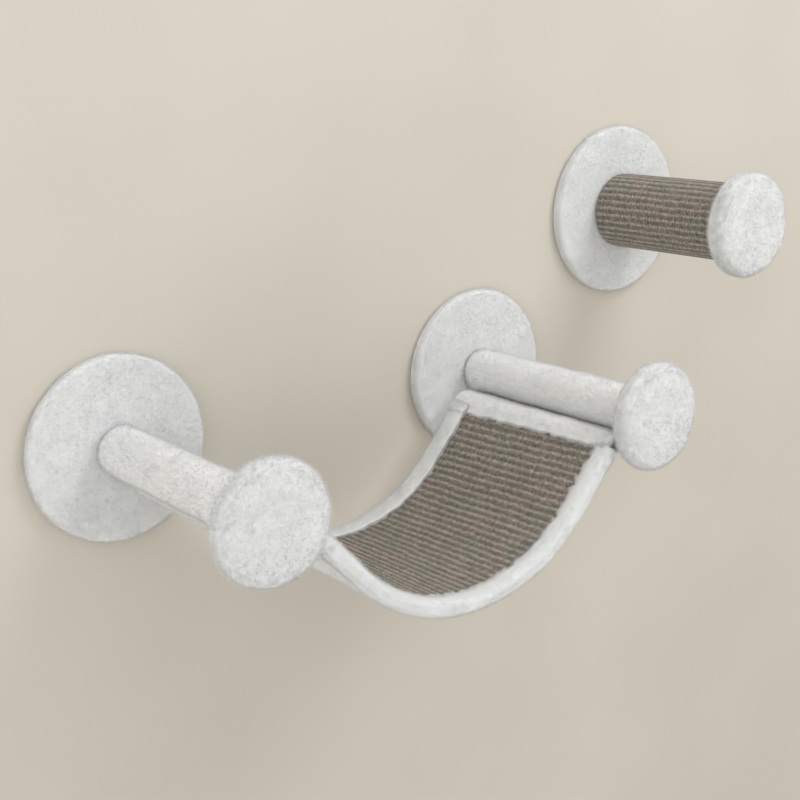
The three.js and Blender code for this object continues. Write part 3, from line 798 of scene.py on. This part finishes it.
def capped_sweep(rings, section):
    """Joins rings of points into a tube whose two ends are closed as the flat section is."""
    rows, size = rings.shape[:2]
    triangles = grid_triangles(rows, size, wrap_columns=True)
    flat = np.array(flat_faces([section]))
    a, b, c = (np.array(section)[flat[:, k]] for k in range(3))
    turned = (b[:, 0] - a[:, 0]) * (c[:, 1] - a[:, 1]) - (b[:, 1] - a[:, 1]) * (c[:, 0] - a[:, 0]) < 0
    flat[turned] = flat[turned][:, ::-1]
    x, y = np.array(section).T
    if (x * np.roll(y, -1) - y * np.roll(x, -1)).sum() < 0:
        flat = flat[:, ::-1]
    triangles = np.concatenate([triangles, flat[:, ::-1], flat + (rows - 1) * size])
    return rings.reshape(-1, 3), triangles


def strand_line(distance, depth, out, towards, seed, lift, length, count, lip=None):
    """Clumped fibres along a line on the sling, for a pile's fringe. They point in the step (distance,
    out) of towards, tilted up by lift, and are about length mm long. They start at the tip of the lip that
    has the seed lip, if there is one."""
    draws = np.random.default_rng(seed)
    share = draws.uniform(0, 1, count)
    distance, out = np.interp(share, (0, 1), distance), np.interp(share, (0, 1), out)
    if lip is not None:
        reach = lip_reach(out if towards[0] else distance, lip) - 1 * MM
        distance, out = distance + reach * towards[0], out + reach * towards[1]
    roots = sling_points(distance, depth, out)
    up = unit(sling_points(distance, depth - 1 * MM, out) - roots)
    step = np.array(towards) * MM
    ahead = unit(sling_points(distance + step[0], depth, out + step[1]) - roots)
    beside = np.cross(up, ahead)
    clump = Noise(seed)(roots, 6 * MM)[:, None]
    heading = ahead + up * (lift + 0.25 * draws.normal(size=(count, 1)))
    heading += beside * (0.9 * Noise(seed + 1)(roots, 5 * MM)[:, None] + 0.3 * draws.normal(size=(count, 1)))
    lengths = length * MM * (1 + 0.6 * clump) * draws.uniform(0.6, 1.1, (count, 1))
    return roots, up, unit(heading), lengths, np.full((count, 1), FRINGE_RADIUS)


def lip_reach(places, seed):
    """How far a plush edge laps over the sisal beside it, in uneven tufts."""
    line = np.stack([places, 0 * places, 0 * places], axis=-1).reshape(-1, 3)
    noise = Noise(seed + 41)
    reach = 2.6 * MM + 2.0 * MM * noise(line, 9 * MM) + 1.1 * MM * noise(line + 7, 3.5 * MM)
    return np.clip(reach, 0.4 * MM, None).reshape(places.shape)


def lip_fringe(distance, out, towards, seed, lengths, counts):
    """Two rows of fringe at the tip of an edge's lip, the lower one flatter."""
    rows = enumerate(zip((-0.8 * MM, -1.4 * MM), (0.15, 0.6), lengths, counts))
    return [
        strand_line(distance, depth, out, towards, seed + 31 + 2 * row, lift, length, count, lip=seed)
        for row, (depth, lift, length, count) in rows
    ]


def hammock_weave():
    """The sling's sisal, with its ribs across the sling and ragged ends."""
    ribs, yarns = round(2 * SISAL_HALF / RIB_PITCH), round((SISAL_FRONT - SISAL_BACK) / YARN_PITCH)
    top_outs = np.linspace(SISAL_BACK, SISAL_FRONT, yarns * 3 + 1)
    bottom_outs = np.linspace(SISAL_FRONT, SISAL_BACK, 7)
    outs = np.concatenate([top_outs, bottom_outs])
    on_top = np.arange(len(outs)) < len(top_outs)
    stations = np.linspace(-SISAL_HALF + GAP, SISAL_HALF - GAP, ribs * 7 + 1)
    along, out = np.meshgrid(stations, outs, indexing="ij")
    near_end = smooth(along, 0.6 * SISAL_HALF, SISAL_HALF)
    along = along - near_end * slant(out)
    row = (along + SISAL_HALF + ROW_SLANT * (SISAL_FRONT - out)) / RIB_PITCH
    row, yarn = woven_rows(row.ravel(), (out.ravel() - SISAL_BACK) / YARN_PITCH, 51)
    places = np.stack([along.ravel(), out.ravel(), 0 * row], axis=1)
    frayed = (1.3 * MM * Noise(52)(places, 4 * MM) - 1.0 * MM).reshape(along.shape)
    fraying = smooth(np.abs(stations)[:, None], SISAL_HALF - 4 * MM, SISAL_HALF)
    height = woven_height(row, yarn).reshape(along.shape)
    points = sling_points(along + np.sign(along) * frayed * fraying, np.where(on_top, -height, SISAL), out)
    section = [(o, 0.0) for o in top_outs] + [(o, SISAL) for o in bottom_outs]
    piece = sisal_piece("hammock_weave", *capped_sweep(points, section), row, yarn, "sling_mat")


def scratch_weave():
    """The scratching post's sisal, with its ribs along the post and ends that curl in."""
    _, start, end = round_size("scratch_post_sisal")
    middle, bore = post_middle("scratch"), bore_radius("scratch")
    radius = bore + SISAL
    ribs, yarns = round(2 * math.pi * radius / RIB_PITCH), round((end - start) / YARN_PITCH)
    columns, rows = ribs * 9, yarns * 4
    outs = np.linspace(start, end, rows + 1)
    turns = np.arange(columns) / columns
    out, turn = np.meshgrid(outs, turns, indexing="ij")
    row, yarn = woven_rows((turn * ribs).ravel(), (out - start).ravel() / YARN_PITCH, 61)
    height = woven_height(row, yarn).reshape(out.shape)
    soft = 4 * MM
    nearest = np.clip(np.minimum(out - start, end - out) / soft, 0, 1)
    curl = soft * (1 - np.sqrt(1 - (1 - nearest) ** 2))
    outer = round_post(middle, radius + height - 0.8 * curl, out, turn * 2 * math.pi)
    inner = round_post(middle, bore, np.array([[end], [start]]), turns * 2 * math.pi)
    points = np.concatenate([outer, inner]).reshape(-1, 3)
    triangles = grid_triangles(rows + 3, columns, wrap_rows=True, wrap_columns=True)
    spare = 2 * columns
    row, yarn = np.concatenate([row, row[:spare]]), np.concatenate([yarn, yarn[:spare]])
    piece = sisal_piece("scratch_post_weave", points, triangles, row, yarn, "scratch_post_sisal")


def hammock_underside():
    half = SISAL_HALF - GAP
    step = 2.2 * MM
    count = math.ceil((SISAL_FRONT - SISAL_BACK) / step)
    across = list(np.linspace(SISAL_BACK, SISAL_FRONT, count))
    outs = np.array([SISAL_BACK, SISAL_FRONT, *across[::-1]])
    depths = np.array([UNDERSIDE_TOP] * 2 + [THICKNESS - EDGE_ROOM] * count)
    stations = np.linspace(-half, half, math.ceil(2 * half / step))[:, None]
    shape = capped_sweep(sling_points(stations, depths, outs), list(zip(outs, depths)))
    weight = np.tile([0.0] * 2 + [1.0] * count, len(stations))
    piece, pile = plush_piece("hammock_underside_plush", *shape, weight, UNDER_PELT, 71, "sling_underside")


# Where an edge meets the sisal, the second and third points of its section lap over it, at these depths
LIP_UNDER, LIP_TOP = -0.3 * MM, -1.0 * MM
LIP_WEIGHTS = [0.0, 0.0, 0.4, 0.8]  # of the first four points


def lip_share(section, under):
    """How far a section's points follow the lip's reach, with under for the lip's lower point."""
    share = np.zeros(len(section))
    share[1:3] = under, 1
    return share


def border_plush(label, outer_edge, width, slot_end, seed):
    """A stuffed strip of plush folded round one edge of the sling, with a slot for the canvas. Width is
    negative where it runs back towards the wall."""
    inward = math.copysign(1, width)
    step = 1.8 * MM
    bend = BORDER_ROUND
    edge = outer_edge + inward * EDGE_ROOM
    inner = outer_edge + width
    top, bottom = 0.2 * MM, THICKNESS - EDGE_ROOM
    swell = 2.2 * MM  # how far the middle of the strip stands above its edges
    turns = np.linspace(0, math.pi / 2, 6)
    path = [(inner, 1.2 * MM), (inner, LIP_UNDER), (inner, LIP_TOP), (inner - inward * 2 * MM, -1.9 * MM)]
    path += [(edge + inward * bend * (1 - math.sin(t)), top + bend * (1 - math.cos(t))) for t in turns]
    path += [(edge + inward * bend * (1 - math.cos(t)), bottom - bend * (1 - math.sin(t))) for t in turns]
    path += [(inner, bottom)]
    outer = [
        (out, depth - swell * math.sin(math.pi * (out - edge) / (inner - edge)) * (1 - 2 * depth / THICKNESS))
        for out, depth in path[:3] + spaced(path[3:], step)
    ]
    slot_top, slot_bottom = CANVAS_TOP - GAP, CANVAS_TOP + CANVAS + GAP
    hollow = [(inner, slot_bottom), (slot_end, slot_bottom), (slot_end, slot_top), (inner, slot_top)]
    section = outer + hollow
    weight = [1.0] * len(outer) + [0.0] * len(hollow)
    weight[:4] = LIP_WEIGHTS
    weight[len(outer) - 1] = 0.3
    stations = np.linspace(-SISAL_HALF, SISAL_HALF, math.ceil(2 * SISAL_HALF / step))[:, None]
    outs, depths = np.array(section).T
    outs = outs + inward * lip_share(section, under=0.7) * lip_reach(stations, seed)
    taper = 0.5 * smooth(np.abs(stations), SISAL_HALF - 12 * MM, SISAL_HALF)
    depths = np.where(depths < 0, depths * (1 - taper), depths)
    shape = capped_sweep(sling_points(stations, depths, outs), section)
    ends, line = (-SISAL_HALF, SISAL_HALF), (inner, inner)
    fringe = lip_fringe(ends, line, (0, inward), seed, lengths=(5.5, 5.0), counts=(8000, 5000))
    for side in (-1, 1):
        seam, width_line = (side * (SISAL_HALF - 1 * MM),) * 2, (inner, edge + inward * 3 * MM)
        tufts = {"lift": 0.5, "length": 5, "count": 900}
        fringe.append(strand_line(seam, -1.6 * MM, width_line, (side, 0), seed + 35 + side, **tufts))
    name, weights = f"hammock_{label}_border_plush", np.tile(weight, len(stations))
    piece, _ = plush_piece(name, *shape, weights, EDGE_PELT, seed, f"sling_{label}_border", fringe)


# Fringe under the post: mm before its touching line, lift, length in mm and count
UNDER_POST_FRINGE = ((12, 0.7, 6, 2400), (16, 0.6, 7.5, 2400), (21, 0.5, 8, 2000))


def hem_plush(side, label, seed):
    """The plush roll at one end of the sling, hollow for the canvas and the batten."""
    step = 1.8 * MM
    near, tail = SISAL_HALF + GAP, TAIL_END - EDGE_ROOM
    top, bottom = 0.2 * MM, THICKNESS - EDGE_ROOM
    curve = 3.5 * MM
    batten_top = CANVAS_TOP + CANVAS + GAP
    pocket_start = TOUCH - BATTEN_WIDTH / 2 - GAP
    pocket_end = TAIL_END - HEM_SKIN
    pocket_floor = batten_top + BATTEN + GAP
    lip_path = [(near, CANVAS_TOP - GAP), (near, LIP_UNDER), (near, LIP_TOP)]
    path = [(near + 2 * MM, -1.7 * MM), (near + 12 * MM, -1.2 * MM)]
    path += [(TOUCH - 14 * MM, top), (TOUCH - 4 * MM, 1 * MM)]
    path += arc((tail - curve, 1 * MM + curve), curve, -90, 0, step)
    path += arc((tail - curve, bottom - curve), curve, 0, 90, step)
    path += [(near, bottom), (near, batten_top)]
    outer = lip_path + spaced(path, step)
    hollow = [(pocket_start, batten_top), (pocket_start, pocket_floor)]
    hollow += [(pocket_end, pocket_floor), (pocket_end, CANVAS_TOP - GAP)]
    hollow = spaced([outer[-1], *hollow, outer[0]], 4 * MM)[1:-1]
    section = outer + hollow
    weight = [1.0] * len(outer) + [0.0] * len(hollow)
    weight[:4] = LIP_WEIGHTS
    weight[len(outer) - 1] = 0.0
    outs = np.linspace(HEM_BACK, HEM_FRONT, math.ceil((HEM_FRONT - HEM_BACK) / step))[:, None]
    distance, depth = np.array(section).T

    # Both ends are rounded over, and the lip follows the sisal's slanting end
    middle = THICKNESS / 2
    end_round = BORDER_SKIN - 0.5 * MM
    from_end = np.clip(np.minimum(outs - HEM_BACK, HEM_FRONT - outs) / end_round, 0, 1)
    inset = end_round * (1 - np.sqrt(1 - (1 - from_end) ** 2))
    rounded = np.array(weight, dtype=bool) & (np.abs(depth - middle) > 4 * MM)
    depths = depth + np.sign(middle - depth) * inset * rounded
    beside_sisal = (1 - smooth(distance, near, near + 14 * MM)) * (depth < CANVAS_TOP) * (side > 0)
    distances = distance - beside_sisal * slant(outs) - lip_share(section, under=1) * lip_reach(outs, seed)
    rings = sling_points(side * distances, depths, outs)
    shape = capped_sweep(rings, section)
    ends = (HEM_BACK + 4 * MM, HEM_FRONT - 4 * MM)
    starts = [side * (near + 1 * MM - (slant(out) if side > 0 else 0)) for out in ends]
    fringe = lip_fringe(starts, ends, (-side, 0), seed, lengths=(6.0, 5.5), counts=(4800, 3200))
    for row, (before, lift, length, count) in enumerate(UNDER_POST_FRINGE):
        line = [side * (TOUCH - before * MM)] * 2
        fringe.append(strand_line(line, 0.0, ends, (side, 0), seed + 35 + 2 * row, lift, length, count))
    weights = np.tile(weight, len(outs))
    piece, _ = plush_piece(f"{label}_hem_plush", *shape, weights, EDGE_PELT, seed, f"{label}_hem", fringe)


# ---------- Stage, light and camera ----------

WALL_Y = 1 * MM
WALL_X, WALL_Z = (-4.0, 5.0), (-1.3, 2.4)
HOLE_EDGE = 4.5 * MM  # how far a plate laps over the wall round its hole
FLOOR_FRONT = -5.0
WORLD_LIGHT = 0.82
LAMPS = {  # place, target, size in m and power in W
    "key": ((1.6, -1.9, 2.1), (0.5, 0, 0.1), 1.5, 30),
    "fill": ((-2.3, -1.7, 0.9), (0.4, 0, 0), 3.0, 25),
}
CAMERA_PLACE = (-0.7328, -1.5659, 0.5139)
CAMERA_TURNS = (0.6548804, 0.2695568, -0.0268092)
LENS = 61.09
SHIFT_UP = 0.005


def clear_behind(shader):
    """Makes a stage surface clear from behind, so that the object can be seen from there."""
    behind, clear = shader.node("NewGeometry").outputs["Backfacing"], shader.node("BsdfTransparent")
    shown = shader.fed(shader.node("MixShader"), behind, shader.surface.outputs[0], clear.outputs[0])
    shader.feed(shader.tree.nodes["Material Output"].inputs["Surface"], shown)
    return shader.material


def wall_material():
    shader = Shader("painted_wall")
    patches = shader.noise(shader.place(), 500 * MM, 2)
    colour = shader.ramp(patches, (0.35, srgb(202, 196, 184)), (0.65, srgb(208, 202, 190)))
    shader.finish(colour, 0.95, Specular_IOR_Level=0.1)
    return clear_behind(shader)


def build_wall():
    """The wall, open behind the plates so that their backs are lit when seen from behind."""
    (left, right), (low, high) = WALL_X, WALL_Z
    loops = [[(left, low), (right, low), (right, high), (left, high)]]
    turns = np.arange(48) / 48 * 2 * math.pi
    for post in POSTS:
        x, z = post_middle(post)
        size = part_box(f"{post}_wall_cover")[1][0] - x - HOLE_EDGE
        loops.append([(x + size * math.cos(t), z + size * math.sin(t)) for t in turns])
    points = [(x, WALL_Y, z) for loop in loops for x, z in loop]
    wall = mesh_object("wall", points, flat_faces(loops), wall_material())
    wall.data.update()
    if sum((face.normal * face.area for face in wall.data.polygons), Vector()).y > 0:
        wall.data.flip_normals()


def build_floor():
    shader = Shader("pale_floor")
    tone = shader.noise(shader.place(), 300 * MM, 2)
    colour = shader.ramp(tone, (0.3, srgb(226, 224, 220)), (0.7, srgb(234, 232, 228)))
    (left, right), low = WALL_X, WALL_Z[0]
    corners = [(left, FLOOR_FRONT, low), (right, FLOOR_FRONT, low), (right, WALL_Y, low), (left, WALL_Y, low)]
    shader.finish(colour, 0.8)
    mesh_object("floor", corners, [range(4)], clear_behind(shader))


def area_light(name, place, target, size, power):
    data = bpy.data.lights.new(name, "AREA")
    data.shape, data.size, data.energy = "DISK", size, power
    lamp = scene_object(name, data)
    lamp.location = place
    lamp.rotation_euler = (Vector(target) - Vector(place)).to_track_quat("-Z", "Y").to_euler()


def light_scene():
    world = bpy.data.worlds.new("studio")
    bpy.context.scene.world = world
    world.use_nodes = True
    background = world.node_tree.nodes["Background"]
    background.inputs["Color"].default_value = (1, 1, 1, 1)
    background.inputs["Strength"].default_value = WORLD_LIGHT
    for name, settings in LAMPS.items():
        area_light(name, *settings)
    bpy.context.scene.view_settings.view_transform = "Standard"


def aim_camera():
    yaw, pitch, roll = CAMERA_TURNS
    forward = Vector((math.sin(yaw) * math.cos(pitch), math.cos(yaw) * math.cos(pitch), -math.sin(pitch)))
    level = Vector((math.cos(yaw), -math.sin(yaw), 0))
    above = level.cross(forward)
    right = math.cos(roll) * level + math.sin(roll) * above
    up = -math.sin(roll) * level + math.cos(roll) * above
    data = bpy.data.cameras.new("camera")
    data.lens, data.sensor_width, data.shift_y = LENS, 36, SHIFT_UP
    camera = scene_object("camera", data)
    turn = Matrix((right, up, -forward)).transposed().to_4x4()
    camera.matrix_world = Matrix.Translation(CAMERA_PLACE) @ turn
    bpy.context.scene.camera = camera


# ---------- The whole scene ----------

aim_camera()
light_scene()
build_wall()
build_floor()
dress_kept_nodes()
for order, post in enumerate(POSTS):
    plate_plush(post, 100 + order)
    cap_plush(post, 200 + order)
for order, post in enumerate(HAMMOCK_POSTS):
    post_plush(post, 300 + order)
scratch_weave()
for side, label in ((-1, "left"), (1, "right")):
    hem_plush(side, label, 400 + side)
hammock_weave()
hammock_underside()
border_plush("back", HEM_BACK, BACK_BORDER, HEM_BACK + BORDER_SKIN, 500)
border_plush("front", BORDER_FRONT, -FRONT_BORDER, HEM_FRONT - BORDER_SKIN, 600)
